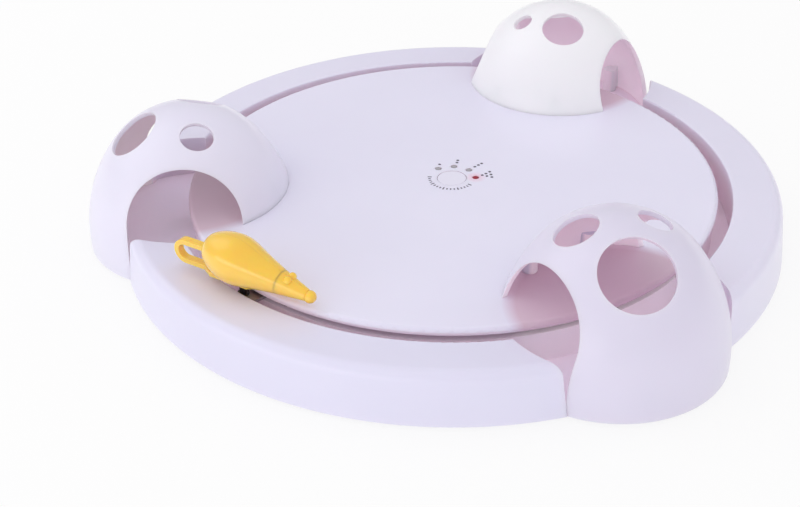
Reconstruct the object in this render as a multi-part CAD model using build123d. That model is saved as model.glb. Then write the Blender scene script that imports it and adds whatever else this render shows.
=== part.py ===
"""Automatic cat toy: a mouse circles in a groove round a disc and runs through three domes.

Millimetres, +Z up, the rubber feet stand on Z = 0. Everything is drawn about the spin
axis and moved at the end, so that the middle of the outline is the origin.
"""
from build123d import *
from math import acos, asin, cos, degrees, pi, radians, sin, sqrt, tan
import os

# Disc, groove and rim
deck_radius = 120.9
deck_top = 25.5
deck_thickness = 2.2
deck_edge_height = 3.0
deck_edge_wall = 2.2
deck_edge_round = 1.8
deck_rib_radii = (55.0, 95.0)
deck_rib_depth = 1.2
groove_width = 6.6
rim_width = 24.0
ring_top = 24.5
ring_wall = 2.2
ring_draft = 1.7
ring_edge_round = 5.0
ring_inner_round = 0.8

# Domes: a short upright wall, then two arcs up to the crown
dome_angles = {"rear": 90, "left": 210, "right": 330}
dome_inset = 3.8
dome_radius = 48.1
dome_height = 65.0
dome_crown_radius = 42.0
dome_wall = 2.0
dome_straight_height = 6.0
tunnel_radius = 25.5
tunnel_offset = -1.0
peep_focus_height = 23.5
# direction round the dome (0 points away from the disc), elevation, hole radius
peep_holes = {
    "rear": [(30, 52, 16.0), (-151, 64, 10.3), (140, 60, 5.0)],
    "left": [(15, 55, 12.6), (113, 62, 7.5), (-110, 64, 10.5)],
    "right": [(-21, 51, 15.7), (-118, 65, 9.8), (70, 69, 7.5)],
}

# Base
skirt_bottom = 1.0
floor_bottom = 2.5
floor_top = 5.0
drum_wall = 2.2
drum_setback = 1.5
slot_bottom = 18.9
rib_thickness = 1.6
rib_count = 12
foot_radius = 6.5
foot_height = 1.6
foot_recess = 0.6
foot_inset = 25.5
foot_count = 6

# Longer than anything here, for cuts that go right through
beyond = 400.0

# Fits
fit_gap = 0.3
slide_gap = 0.15
run_gap = 0.05
press_gap = 0.02

# Centre column, board, button and lamps
column_radius = 20.4
column_wall = 3.2
board_radius = 16.8
board_bottom = 19.5
board_thickness = 1.4
board_boss_angles = (0, 205, 285)
board_boss_orbit = 12.9
board_boss_radius = 2.6
button_radius = 6.7
button_wall = 1.4
button_flange = 1.7
button_flange_height = 0.6
button_travel = 0.5
switch_size = 6.0
switch_height = 2.0
plunger_radius = 1.7
plunger_depth = 0.9
lamp_radius = 1.45
lamp_orbit = 11.0
lamp_angles = (30, 71, 111.5, 152)
chip_length = 5.0
chip_width = 3.0
chip_height = 1.2

# Gear train: the hub turns the mouse and is driven through two compound gears
pressure_angle = 20
hub_module = 1.0
hub_teeth = 64
hub_pinion_teeth = 12
fine_module = 0.8
wheel_teeth = 36
small_pinion_teeth = 10
tooth_backlash = 0.18
second_gear_angle = 250
first_gear_turn = 300
motor_turn = 20
hub_bottom = 6.5
hub_gear_height = 4.0
hub_sleeve_wall = 2.0
hub_flange_radius = 30.0
hub_flange_height = 3.0
layer_gap = 0.5
second_wheel_height = 2.6
first_wheel_height = 2.6
pin_radius = 1.25
pin_boss_radius = 3.0
gear_plate_bottom = 17.6
gear_plate_thickness = 1.0
gear_plate_margin = 4.5
gear_post_radius = 3.2
gear_posts = ((-32.0, -40.0), (-4.0, -72.5), (31.0, -50.0))
motor_radius = 12.2
motor_top = 13.5
motor_boss_radius = 3.1
motor_boss_height = 0.5
motor_shaft_radius = 1.0
motor_shaft_depth = 5.5
motor_pocket_wall = 1.3
motor_pocket_top = 9.0
motor_pinion_height = 3.0

# Arm, roller and mouse
arm_angle = 253
arm_bottom = 19.9
arm_thickness = 1.5
arm_hub_width = 24.0
arm_tip_trail = 2.9
arm_tip_lead = 7.5
arm_tip_bevel = 2.0
arm_tip_gap = 0.9
arm_window_width = 5.5
arm_screw_inset = 4.0
arm_screw_angles = (60, 180, 300)
roller_radius = 6.9
roller_width = 4.4
roller_inset = 8.6
fork_wall = 1.2
fork_drop = 1.9
fork_width = 8.0
arm_window_start_gap = 10.0
arm_window_end_gap = 16.0
post_radius = 1.6
post_top = 35.0
mouse_yaw = 13.0
mouse_length = 51.5
mouse_radius = 10.7
mouse_widest_place = 16.4
mouse_rear_height = 40.0
mouse_nose_height = 31.8
mouse_nose_radius = 2.7
mouse_post_place = 17.6
mouse_neck_radius = 2.5
ear_radius = 1.8
ear_place = 42.5
ear_height = 3.9
ear_spread = 1.7
tail_thickness = 2.2
tail_width = 3.5
tail_underside = 27.8
tail_loop_radius = 4.5
tail_loop_back = 11.0
tongue_front = 27.0
tongue_width = 9.2
tongue_taper = 4.0
tongue_reveal = 1.5

# Battery bay for three AA cells
bay_centre_y = 60.0
bay_wall = 2.0
bay_roof = 1.2
cell_radius = 7.1
cell_length = 49.3
cell_nub_radius = 2.7
cell_nub_length = 1.0
cell_pitch = 15.0
cell_side_gap = 0.7
cell_above_door = 0.5
contact_thickness = 0.5
contact_width = 10.0
contact_bump_radius = 3.0
contact_bump_height = 1.25
door_margin = 2.5
door_thickness = 1.4
door_frame_wall = 2.0
door_lug_length = 10.0
door_lug_width = 1.6
door_lug_height = 2.0
finger_notch_radius = 7.0
finger_notch_depth = 0.7

# Screws
screw_radius = 1.4
screw_head_radius = 2.7
screw_head_height = 1.4
small_screw_radius = 0.9
small_screw_head_radius = 1.8
small_screw_head_height = 1.0
driver_slot_reach = 0.6
driver_slot_width = 0.6
screw_bite = 8.0
small_screw_bite = 4.0
boss_radius = 3.6
rim_boss_inset = 12.5
rim_boss_spread = 28
dome_boss_inset = 7.7
dome_boss_spread = 22
dome_boss_top = 17.0
dome_foot_boss_inset = 7.7
dome_foot_boss_height = 9.0

# Sizes worked out from the ones above
groove_outer = deck_radius + groove_width
groove_middle = deck_radius + groove_width / 2
ring_radius = groove_outer + rim_width
dome_orbit = groove_middle - dome_inset
dome_boss_orbit = dome_radius - dome_boss_inset
dome_foot_boss_orbit = dome_radius - dome_foot_boss_inset
rim_boss_orbit = ring_radius - rim_boss_inset
foot_orbit = ring_radius - foot_inset
arm_tip_end = groove_outer - arm_tip_gap
arm_screw_orbit = hub_flange_radius - arm_screw_inset
deck_bottom = deck_top - deck_thickness
drum_radius = deck_radius - drum_setback
roller_orbit = drum_radius - drum_wall - roller_inset
floor_thickness = floor_top - floor_bottom
base_radius = ring_radius - ring_wall - fit_gap
dome_base_radius = dome_radius - dome_wall - fit_gap
dome_reach = dome_orbit + dome_radius
column_bore = column_radius - column_wall
board_top = board_bottom + board_thickness
arm_top = arm_bottom + arm_thickness
hub_bore = column_radius + run_gap
hub_pitch_radius = hub_module * hub_teeth / 2
hub_pinion_radius = hub_module * hub_pinion_teeth / 2
wheel_radius = fine_module * wheel_teeth / 2
small_pinion_radius = fine_module * small_pinion_teeth / 2
gear_step = wheel_radius + small_pinion_radius
second_wheel_bottom = hub_bottom + hub_gear_height + layer_gap
first_wheel_bottom = second_wheel_bottom + second_wheel_height + layer_gap + 0.1
door_top = floor_bottom - slide_gap
door_bottom = door_top - door_thickness
cell_height = door_top + cell_above_door + cell_radius
bay_top = cell_height + cell_radius + cell_above_door + bay_roof
bay_length = cell_length + cell_nub_length + contact_bump_height + 2 * contact_thickness
bay_width = 2 * cell_pitch + 2 * cell_radius + 2 * cell_side_gap


def polar(radius, angle):
    """Point at a distance and an angle in degrees from the spin axis."""
    return (radius * cos(radians(angle)), radius * sin(radians(angle)))


def disc(radius, bottom, top, at=(0, 0)):
    """Upright cylinder between two heights."""
    return Pos(at[0], at[1], bottom) * extrude(Circle(radius), top - bottom)


def tube(outer, inner, bottom, top, at=(0, 0)):
    """Upright tube between two heights."""
    return Pos(at[0], at[1], bottom) * extrude(Circle(outer) - Circle(inner), top - bottom)


def block(x, y, z):
    """Box from three pairs of limits."""
    middle = ((x[0] + x[1]) / 2, (y[0] + y[1]) / 2, (z[0] + z[1]) / 2)
    return Pos(*middle) * Box(x[1] - x[0], y[1] - y[0], z[1] - z[0])


def turned(points):
    """Solid of revolution about the spin axis from an outline of (radius, height)."""
    return revolve(profile(Polyline(*points, close=True)), Axis.Z)


def profile(*edges):
    """Upright face from edges drawn as (distance along X, height)."""
    return make_face([edge for part in edges for edge in (Plane.XZ * part).edges()])


def joined(shapes):
    """Union of a list of shapes."""
    total = shapes[0]
    for shape in shapes[1:]:
        total = total + shape
    return total


second_gear_place = polar(hub_pitch_radius + hub_pinion_radius, second_gear_angle)
first_step = polar(gear_step, first_gear_turn)
first_gear_place = (second_gear_place[0] + first_step[0], second_gear_place[1] + first_step[1])
motor_step = polar(gear_step, motor_turn)
motor_place = (first_gear_place[0] + motor_step[0], first_gear_place[1] + motor_step[1])
foot_places = [polar(foot_orbit, 30 + 360 / foot_count * i) for i in range(foot_count)]
rim_middles = [angle + 60 for angle in dome_angles.values()]
rim_boss_places = [
    polar(rim_boss_orbit, middle + side * rim_boss_spread) for middle in rim_middles for side in (-1, 1)
]
dome_boss_places = [
    polar(dome_boss_orbit, side * dome_boss_spread) for side in (-1, 1)
]
dome_foot_places = [
    polar(dome_foot_boss_orbit, 180 + side * dome_boss_spread) for side in (-1, 1)
]
board_boss_places = [polar(board_boss_orbit, angle) for angle in board_boss_angles]
arm_screw_places = [polar(arm_screw_orbit, arm_angle + angle) for angle in arm_screw_angles]


def at_dome(angle):
    """Place of a dome: X points away from the disc."""
    return Rot(0, 0, angle) * Pos(dome_orbit, 0, 0)


def at_all_domes(places):
    """Points given in a dome's own directions, for all the domes."""
    found = []
    for angle in dome_angles.values():
        for place in places:
            spot = at_dome(angle) * Pos(place[0], place[1], 0)
            found.append((spot.position.X, spot.position.Y))
    return found


# Fasteners


def screw(shank, head, head_height, length):
    """Cross-head screw standing on its head, with the shank pointing up from Z = 0."""
    body = disc(shank, -head_height / 2, length)
    cap = fillet(disc(head, -head_height, 0).edges().group_by(Axis.Z)[0], head_height * 0.45)
    reach = head * driver_slot_reach
    slot = block((-reach, reach), (-driver_slot_width / 2, driver_slot_width / 2), (-beyond, -head_height * 0.4))
    return body + cap - slot - Rot(0, 0, 90) * slot


def screws(places, seat, length, small=False, down=False):
    """One screw at each place, its head resting on the seat."""
    if small:
        one = screw(small_screw_radius, small_screw_head_radius, small_screw_head_height, length)
    else:
        one = screw(screw_radius, screw_head_radius, screw_head_height, length)
    if down:
        one = Rot(180, 0, 0) * one
    return Compound(children=[Pos(x, y, seat) * one for x, y in places])


def bored(bosses, places, bottom, depth, radius):
    """Cut a screw's blind hole into each boss."""
    for place in places:
        bosses = bosses - disc(radius + run_gap, bottom - 1, bottom + depth, place)
    return bosses


# Outer shells


def rim_segments():
    """The three hollow rim mouldings between the domes, by the dome each one follows."""
    slope = ring_draft / (ring_top - ring_edge_round - skirt_bottom)
    corner = ring_radius - slope * (ring_top - skirt_bottom)
    outer = turned([
        (groove_outer, skirt_bottom), (groove_outer, ring_top), (corner, ring_top),
        (ring_radius, skirt_bottom),
    ])
    top_edges = outer.edges().filter_by(GeomType.CIRCLE).group_by(Axis.Z)[-1].sort_by(SortBy.RADIUS)
    outer = fillet(top_edges[-1], ring_edge_round)
    inner_edge = outer.edges().filter_by(GeomType.CIRCLE).group_by(Axis.Z)[-1].sort_by(SortBy.RADIUS)[0]
    outer = fillet(inner_edge, ring_inner_round)
    ceiling = ring_top - ring_wall
    inner = turned([
        (groove_outer + ring_wall, 0), (groove_outer + ring_wall, ceiling),
        (corner - ring_wall, ceiling), (ring_radius - ring_wall, skirt_bottom),
        (ring_radius - ring_wall, 0),
    ])
    roof_edges = inner.edges().filter_by(GeomType.CIRCLE).group_by(Axis.Z)[-1].sort_by(SortBy.RADIUS)
    inner = fillet(roof_edges[-1], ring_edge_round - ring_wall)
    for angle in dome_angles.values():
        place = at_dome(angle)
        outer = outer - place * disc(dome_radius + fit_gap, 0, ring_top + 1)
        inner = inner - place * disc(dome_radius + fit_gap + ring_wall, -1, ring_top)
    shell = outer - inner - disc(ring_radius - ring_wall, 0, floor_top)
    bosses = joined([disc(boss_radius, floor_top, ceiling + ring_wall / 2, spot) for spot in rim_boss_places])
    bosses = bored(bosses, rim_boss_places, floor_top, screw_bite, screw_radius)
    rim = shell + bosses
    found = {}
    for solid in rim.solids():
        centre = solid.center()
        for name, middle in (("right", 30), ("left", 150), ("front", 270)):
            ray = polar(1, middle)
            if centre.X * ray[0] + centre.Y * ray[1] > rim_boss_orbit * 0.5:
                found["rim_" + name] = solid
    return found


def dome_form(radius, height, crown):
    """Solid with the dome's profile, about its own axis: a wide arc runs into the crown's arc."""
    rise = height - dome_straight_height
    side = (radius ** 2 + (rise - crown) ** 2 - crown ** 2) / (2 * (radius - crown))
    turn = asin((rise - crown) / (side - crown))
    join = (crown * cos(turn), height - crown + crown * sin(turn))
    half = (radius - side + side * cos(turn / 2), dome_straight_height + side * sin(turn / 2))
    high = (crown * cos((turn + pi / 2) / 2), height - crown + crown * sin((turn + pi / 2) / 2))
    shoulder = ThreePointArc((radius, dome_straight_height), half, join)
    cap = ThreePointArc(join, high, (0, height))
    edge = Polyline((0, height), (0, 0), (radius, 0), (radius, dome_straight_height))
    return revolve(profile(shoulder, cap, edge), Axis.Z)


def dome(name):
    """One dome shell: two tunnel mouths, its peep holes, an outer skirt and an inner foot."""
    outer = dome_form(dome_radius, dome_height, dome_crown_radius)
    shell = outer - dome_form(dome_radius - dome_wall, dome_height - dome_wall, dome_crown_radius - dome_wall)
    far = dome_radius + 2
    mouth = Plane.XZ * Pos(tunnel_offset, deck_top) * Circle(tunnel_radius)
    shell = shell - extrude(mouth, far, both=True)
    skirt_start = tunnel_offset + tunnel_radius
    shell = shell - block((-far, skirt_start), (-far, far), (-1, deck_top))
    shell = shell - block((-far, far), (-far, far), (-1, skirt_bottom))
    for turn, rise, radius in peep_holes[name]:
        aim = Vector(cos(radians(rise)) * cos(radians(turn)), cos(radians(rise)) * sin(radians(turn)),
                     sin(radians(rise)))
        shell = shell - extrude(Plane((0, 0, peep_focus_height), z_dir=aim) * Circle(radius), dome_height)
    lower = joined([disc(boss_radius, floor_top, dome_boss_top, spot) for spot in dome_boss_places])
    for side in (-1, 1):
        web = block((dome_boss_orbit, dome_radius), (-rib_thickness / 2, rib_thickness / 2), (floor_top, dome_boss_top))
        lower = lower + Rot(0, 0, side * dome_boss_spread) * web
    upper = joined([
        disc(boss_radius - fit_gap, deck_top, deck_top + dome_foot_boss_height, spot)
        for spot in dome_foot_places
    ])
    lower = bored(lower, dome_boss_places, floor_top, screw_bite, screw_radius)
    upper = bored(upper, dome_foot_places, deck_top, screw_bite - 1, screw_radius)
    shell = shell + (lower & outer) + (upper & outer)
    for spot in dome_boss_places:
        shell = shell - disc(screw_radius + run_gap, floor_top - 1, floor_top + screw_bite, spot)
    for spot in dome_foot_places:
        shell = shell - disc(screw_radius + run_gap, deck_top - 1, deck_top + screw_bite - 1, spot)
    return at_dome(dome_angles[name]) * shell


def deck():
    """The round deck, with its down-turned edge, locating collar and hold-down rib."""
    plate = disc(deck_radius, deck_bottom, deck_top)
    edge = tube(deck_radius, deck_radius - deck_edge_wall, deck_top - deck_edge_height, deck_bottom + 0.5)
    body = plate + edge
    rim_edge = body.edges().filter_by(GeomType.CIRCLE).group_by(Axis.Z)[-1].sort_by(SortBy.RADIUS)[-1]
    body = fillet(rim_edge, deck_edge_round)
    collar = tube(column_bore - slide_gap, column_bore - slide_gap - 1.6, board_top + 0.5, deck_bottom + 0.5)
    hold_down = tube(column_radius + 2.4, column_radius + 0.8, arm_top + 0.2, deck_bottom + 0.5)
    body = body + collar + hold_down
    for radius in deck_rib_radii:
        body = body + tube(radius + rib_thickness, radius, deck_bottom - deck_rib_depth, deck_bottom + 0.5)
    body = body - disc(button_radius + slide_gap, 0, deck_top + 1)
    for angle in lamp_angles:
        body = body - disc(lamp_radius + slide_gap, 0, deck_top + 1, polar(lamp_orbit, angle))
    for spot in at_all_domes(dome_foot_places):
        body = body - disc(screw_radius + 0.2, 0, deck_top + 1, spot)
    return body


def base_outline(radius, dome_part):
    """Flat outline of the base: a disc with a lobe under each dome."""
    outline = Circle(radius)
    for angle in dome_angles.values():
        outline = outline + at_dome(angle) * Circle(dome_part)
    return outline


def base_tray():
    """Floor moulding with the track drum, centre column, gear posts and battery bay."""
    lower = rib_thickness + 0.4
    floor = Pos(0, 0, floor_bottom) * extrude(base_outline(base_radius, dome_base_radius), floor_thickness)
    lip = extrude(base_outline(base_radius, dome_base_radius), floor_thickness)
    lip = lip - extrude(base_outline(base_radius - lower, dome_base_radius - lower), floor_thickness)
    rib_height = floor_bottom - skirt_bottom
    rib_ring = foot_orbit - foot_radius * 2
    ribs = tube(rib_ring, rib_ring - rib_thickness, skirt_bottom, floor_bottom)
    for i in range(rib_count):
        rib = block((rib_ring - 1, base_radius - 1), (-rib_thickness / 2, rib_thickness / 2),
                    (skirt_bottom, floor_bottom))
        ribs = ribs + Rot(0, 0, 360 / rib_count * (i + 0.5)) * rib
    body = floor + ribs + Pos(0, 0, skirt_bottom) * (lip & Box(2 * beyond, 2 * beyond, 2 * rib_height))
    for spot in foot_places:
        body = body + disc(foot_radius + 1.5, skirt_bottom, floor_bottom, spot)
        body = body - disc(foot_radius + 0.1, 0, skirt_bottom + foot_recess, spot)

    body = body + tube(drum_radius, drum_radius - drum_wall, floor_bottom, slot_bottom)
    body = body + tube(column_radius, column_bore, floor_bottom, deck_bottom)
    body = body + tube(column_radius + 3, column_radius - 1, floor_bottom, hub_bottom - run_gap)
    for spot in board_boss_places:
        body = body + disc(board_boss_radius, floor_bottom, board_bottom, spot)
        body = body - disc(small_screw_radius + run_gap, board_bottom - small_screw_bite - 1, beyond, spot)

    body = body + disc(pin_boss_radius, floor_bottom, hub_bottom - 0.3, second_gear_place)
    body = body + disc(pin_boss_radius, floor_bottom, second_wheel_bottom - 0.3, first_gear_place)
    for spot in (second_gear_place, first_gear_place):
        body = body - disc(pin_radius + press_gap, floor_bottom + 1, beyond, spot)
    for spot in gear_posts:
        body = body + disc(gear_post_radius, floor_bottom, gear_plate_bottom, spot)
        body = body - disc(small_screw_radius + run_gap, gear_plate_bottom - small_screw_bite - 1, beyond, spot)
    body = body + disc(motor_radius + press_gap + motor_pocket_wall, skirt_bottom, motor_pocket_top, motor_place)
    body = body - disc(motor_radius + press_gap, floor_bottom, beyond, motor_place)

    half_length = bay_length / 2
    half_width = bay_width / 2
    middle = bay_centre_y
    body = body + block((-half_length - bay_wall, half_length + bay_wall),
                        (middle - half_width - bay_wall, middle + half_width + bay_wall), (floor_bottom, bay_top))
    door_length = half_length + door_margin
    door_width = half_width + door_margin
    frame = door_frame_wall + fit_gap
    body = body + block((-door_length - frame, door_length + frame),
                        (middle - door_width - frame, middle + door_width + frame), (skirt_bottom, floor_top))
    body = body - block((-door_length - fit_gap, door_length + fit_gap),
                        (middle - door_width - fit_gap, middle + door_width + fit_gap), (0, floor_bottom))
    body = body - block((-half_length, half_length), (middle - half_width, middle + half_width),
                        (0, bay_top - bay_roof))

    for spot in rim_boss_places + at_all_domes(dome_boss_places):
        body = body + disc(screw_head_radius + 1.5, skirt_bottom + 0.9, floor_bottom, spot)
        body = body - disc(screw_head_radius + 0.2, 0, floor_bottom, spot)
        body = body - disc(screw_radius + 0.2, 0, floor_top + 1, spot)
    return body


def rubber_feet():
    """Six round pads pressed into shallow recesses under the base."""
    foot = fillet(disc(foot_radius, 0, foot_height).edges().group_by(Axis.Z)[0], 0.5)
    return Compound(children=[Pos(x, y, 0) * foot for x, y in foot_places])


# Controls


def mode_button():
    """Round push button: a cap with a flange that stops it under the deck."""
    flange_top = deck_bottom - 0.1
    cap = disc(button_radius, flange_top - button_flange_height, deck_top)
    cap = fillet(cap.edges().group_by(Axis.Z)[-1], 0.4)
    flange = disc(button_radius + button_flange, flange_top - button_flange_height, flange_top)
    hollow = disc(button_radius - button_wall, 0, deck_top - button_wall)
    return cap + flange - hollow


def switch_plunger():
    """The switch's own stem, touching the button."""
    return disc(plunger_radius, board_top + plunger_depth + 0.2, deck_top - button_wall)


def tact_switch():
    """Square push switch soldered to the board, with a hole for its stem."""
    half = switch_size / 2
    body = block((-half, half), (-half, half), (board_top, board_top + switch_height))
    body = chamfer(body.edges().filter_by(Axis.Z), 0.5)
    return body - disc(plunger_radius + run_gap, board_top + plunger_depth - button_travel, beyond)


def circuit_board():
    """Round board inside the column, on three bosses."""
    board = disc(board_radius, board_bottom, board_top)
    for spot in board_boss_places:
        board = board - disc(small_screw_radius + 0.1, 0, beyond, spot)
    return board


def control_chip():
    """Small surface-mounted controller."""
    body = block((-chip_length / 2, chip_length / 2), (-chip_width / 2, chip_width / 2),
                 (board_top, board_top + chip_height))
    return Rot(0, 0, 250) * Pos(board_boss_orbit - 1, 0, 0) * chamfer(body.faces().sort_by(Axis.Z)[-1].edges(), 0.2)


def lamp(angle):
    """Small indicator lamp standing on the board, its round top in the deck."""
    stem_top = deck_top - lamp_radius * 0.6
    body = disc(lamp_radius, board_top, stem_top)
    cap = Pos(0, 0, stem_top) * Sphere(lamp_radius)
    brim = disc(lamp_radius + 0.3, board_top, board_top + 0.8)
    top_limit = disc(lamp_radius + 1, board_top, deck_top + 0.2)
    place = polar(lamp_orbit, angle)
    return Pos(place[0], place[1], 0) * ((body + cap + brim) & top_limit)


# Gears


def gear_outline(module, teeth, facing):
    """Involute outline with one tooth's middle at the angle called facing."""
    pitch = module * teeth / 2
    base = pitch * cos(radians(pressure_angle))
    root = pitch - 1.25 * module
    tip = pitch + 0.9 * module
    roll = tan(radians(pressure_angle)) - radians(pressure_angle)
    half_tooth = pi / (2 * teeth) - tooth_backlash / (2 * pitch) + roll
    start = max(base, root)
    flank = [(root, half_tooth)] if root < base else []
    for i in range(3):
        radius = start + (tip - start) * i / 2
        unwound = acos(base / radius)
        flank.append((radius, half_tooth - (tan(unwound) - unwound)))
    points = []
    for k in range(teeth):
        middle = radians(facing) + 2 * pi * k / teeth
        points += [(r * cos(middle - a), r * sin(middle - a)) for r, a in flank]
        points += [(r * cos(middle + a), r * sin(middle + a)) for r, a in reversed(flank)]
    return make_face(Polyline(*points, close=True))


def gear(module, teeth, facing, bottom, top, bore):
    """Spur gear between two heights."""
    return Pos(0, 0, bottom) * extrude(gear_outline(module, teeth, facing) - Circle(bore), top - bottom)


def meshing(angle, teeth):
    """Facing angle of a gear that meets, at this angle, a gear whose tooth points at it."""
    return angle + 180 + 180 / teeth


def hub_gear():
    """Large gear on the column, with a sleeve and a flange that carries the arm."""
    ring = gear(hub_module, hub_teeth, second_gear_angle, hub_bottom, hub_bottom + hub_gear_height, hub_bore)
    sleeve = tube(hub_bore + hub_sleeve_wall, hub_bore, hub_bottom, arm_bottom)
    flange = tube(hub_flange_radius, hub_bore, arm_bottom - hub_flange_height, arm_bottom)
    hub = ring + sleeve + flange
    for spot in arm_screw_places:
        hub = hub - disc(small_screw_radius + run_gap, arm_bottom - hub_flange_height - 1, beyond, spot)
    return hub


def second_gear():
    """Compound gear: pinion in the hub gear, wheel driven by the first gear."""
    bore = pin_radius + run_gap
    pinion = gear(hub_module, hub_pinion_teeth, meshing(second_gear_angle, hub_pinion_teeth),
                  hub_bottom - 0.1, second_wheel_bottom, bore)
    wheel = gear(fine_module, wheel_teeth, first_gear_turn, second_wheel_bottom,
                 second_wheel_bottom + second_wheel_height, bore)
    neck = tube(pin_boss_radius, bore, second_wheel_bottom, gear_plate_bottom - 0.2)
    return Pos(*second_gear_place, 0) * (pinion + wheel + neck)


def first_gear():
    """Compound gear: pinion in the second gear, wheel driven by the motor."""
    bore = pin_radius + run_gap
    pinion = gear(fine_module, small_pinion_teeth, meshing(first_gear_turn, small_pinion_teeth),
                  second_wheel_bottom - 0.2, first_wheel_bottom, bore)
    wheel = gear(fine_module, wheel_teeth, motor_turn, first_wheel_bottom,
                 first_wheel_bottom + first_wheel_height, bore)
    neck = tube(pin_boss_radius, bore, first_wheel_bottom, gear_plate_bottom - 0.2)
    return Pos(*first_gear_place, 0) * (pinion + wheel + neck)


def motor_pinion():
    """Pinion pressed on the motor's shaft."""
    bottom = motor_top + motor_boss_height + 0.3
    return Pos(*motor_place, 0) * gear(
        fine_module, small_pinion_teeth, meshing(motor_turn, small_pinion_teeth), bottom,
        bottom + motor_pinion_height, motor_shaft_radius + press_gap / 2)


def motor_shaft():
    """Steel shaft of the motor."""
    top = motor_top + motor_boss_height + 0.3 + motor_pinion_height
    return disc(motor_shaft_radius, motor_top - motor_shaft_depth, top, motor_place)


def drive_motor():
    """Flat round motor standing in its pocket, shaft upwards."""
    can = disc(motor_radius, floor_bottom, motor_top)
    can = fillet(can.edges().group_by(Axis.Z)[-1], 1.2)
    boss = disc(motor_boss_radius, motor_top - 1, motor_top + motor_boss_height)
    bore = disc(motor_shaft_radius + run_gap, motor_top - motor_shaft_depth - 0.2, beyond)
    return Pos(*motor_place, 0) * (can + boss - bore)


def gear_pins():
    """Two steel pins that the compound gears turn on."""
    top = gear_plate_bottom + gear_plate_thickness
    return Compound(children=[
        disc(pin_radius, floor_bottom + 1, top, spot) for spot in (second_gear_place, first_gear_place)
    ])


def gear_plate():
    """Steel plate that holds the pins' upper ends, on three posts."""
    corners = [Pos(x, y) * Circle(gear_plate_margin) for x, y in gear_posts + (second_gear_place,)]
    outline = make_hull(joined(corners).edges())
    plate = Pos(0, 0, gear_plate_bottom) * extrude(outline, gear_plate_thickness)
    for spot in (second_gear_place, first_gear_place):
        plate = plate - disc(pin_radius + press_gap, 0, beyond, spot)
    for spot in gear_posts:
        plate = plate - disc(small_screw_radius + 0.1, 0, beyond, spot)
    return plate


# Arm and mouse


def arm_frame():
    """Place of the arm: X points along it."""
    return Rot(0, 0, arm_angle)


def spin_arm():
    """Steel arm from the hub through the slot into the groove, with the roller's fork."""
    ring = Circle(hub_flange_radius)
    half_hub = arm_hub_width / 2
    neck = deck_radius - deck_edge_wall - 3
    blade = Polyline(
        (0, -half_hub), (neck, -arm_tip_trail), (arm_tip_end, -arm_tip_trail),
        (arm_tip_end, arm_tip_lead - arm_tip_bevel), (arm_tip_end - arm_tip_bevel, arm_tip_lead),
        (neck, arm_tip_lead), (0, half_hub), close=True)
    flat = ring + make_face(blade) - Circle(column_radius + 0.3)
    window_start = hub_flange_radius + arm_window_start_gap
    window_end = roller_orbit - arm_window_end_gap
    window = SlotCenterToCenter(window_end - window_start, arm_window_width)
    flat = flat - Pos((window_start + window_end) / 2, 0) * window
    arm = Pos(0, 0, arm_bottom) * extrude(flat, arm_thickness)
    roller_height = floor_top + run_gap + roller_radius
    for side in (-1, 1):
        near = roller_orbit + side * (roller_width / 2 + 0.2)
        far = near + side * fork_wall
        limits = (min(near, far), max(near, far))
        arm = arm + block(limits, (-fork_width / 2, fork_width / 2), (roller_height - fork_drop, arm_bottom + 0.1))
    hole = Plane((0, 0, roller_height), z_dir=(1, 0, 0)) * Circle(pin_radius + press_gap)
    arm = arm - extrude(hole, roller_orbit + roller_width)
    arm = arm - disc(post_radius + press_gap, 0, beyond, (groove_middle, 0))
    arm = arm_frame() * arm
    for spot in arm_screw_places:
        arm = arm - disc(small_screw_radius + 0.1, 0, beyond, spot)
    return arm


def roller_axle():
    """Short steel pin through the fork."""
    length = roller_width + 0.4 + 2 * fork_wall
    centre = (roller_orbit - length / 2, 0, floor_top + run_gap + roller_radius)
    return arm_frame() * extrude(Plane(centre, z_dir=(1, 0, 0)) * Circle(pin_radius), length)


def arm_roller():
    """Roller that carries the arm's outer end over the floor."""
    centre = (roller_orbit - roller_width / 2, 0, floor_top + run_gap + roller_radius)
    wheel = extrude(Plane(centre, z_dir=(1, 0, 0)) * (Circle(roller_radius) - Circle(pin_radius + run_gap)),
                    roller_width)
    rims = wheel.edges().filter_by(GeomType.CIRCLE).sort_by(SortBy.RADIUS)[-2:]
    return arm_frame() * chamfer(rims, 0.5)


def mouse_frame():
    """Place of the mouse: X runs from its tail to its nose, over the post."""
    x, y = polar(groove_middle, arm_angle)
    return Pos(x, y, 0) * Rot(0, 0, arm_angle + 90 + mouse_yaw) * Pos(-mouse_post_place, 0, 0)


def mouse_body():
    """Soft teardrop mouse with a ball nose, two small ears and a flat belly."""
    fall = mouse_rear_height - mouse_nose_height
    drop = degrees(acos(mouse_length / sqrt(mouse_length ** 2 + fall ** 2)))
    lean = Pos(0, 0, mouse_rear_height) * Rot(0, drop, 0)
    back = Spline(
        (0, 0), (mouse_widest_place * 0.3, mouse_radius * 0.74), (mouse_widest_place, mouse_radius),
        (mouse_length * 0.5, mouse_radius * 0.8), (mouse_length * 0.75, mouse_radius * 0.49),
        (mouse_length, mouse_neck_radius), tangents=[(0, 1), (1, -0.22)])
    closing = Polyline((mouse_length, mouse_neck_radius), (mouse_length, 0), (0, 0))
    body = lean * revolve(profile(back, closing), Axis.X)
    around = (-mouse_length, 2 * mouse_length)
    body = body - block(around, around, (-beyond, tail_underside + tongue_reveal))
    body = body + lean * Pos(mouse_length + mouse_nose_radius * 0.5, 0, 0) * Sphere(mouse_nose_radius)
    for side in (-1, 1):
        body = body + lean * Pos(ear_place, side * ear_spread, ear_height) * Sphere(ear_radius)
    body = body - tail_form()
    body = body - disc(post_radius + press_gap, 0, post_top, (mouse_post_place, 0))
    return mouse_frame() * body


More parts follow.
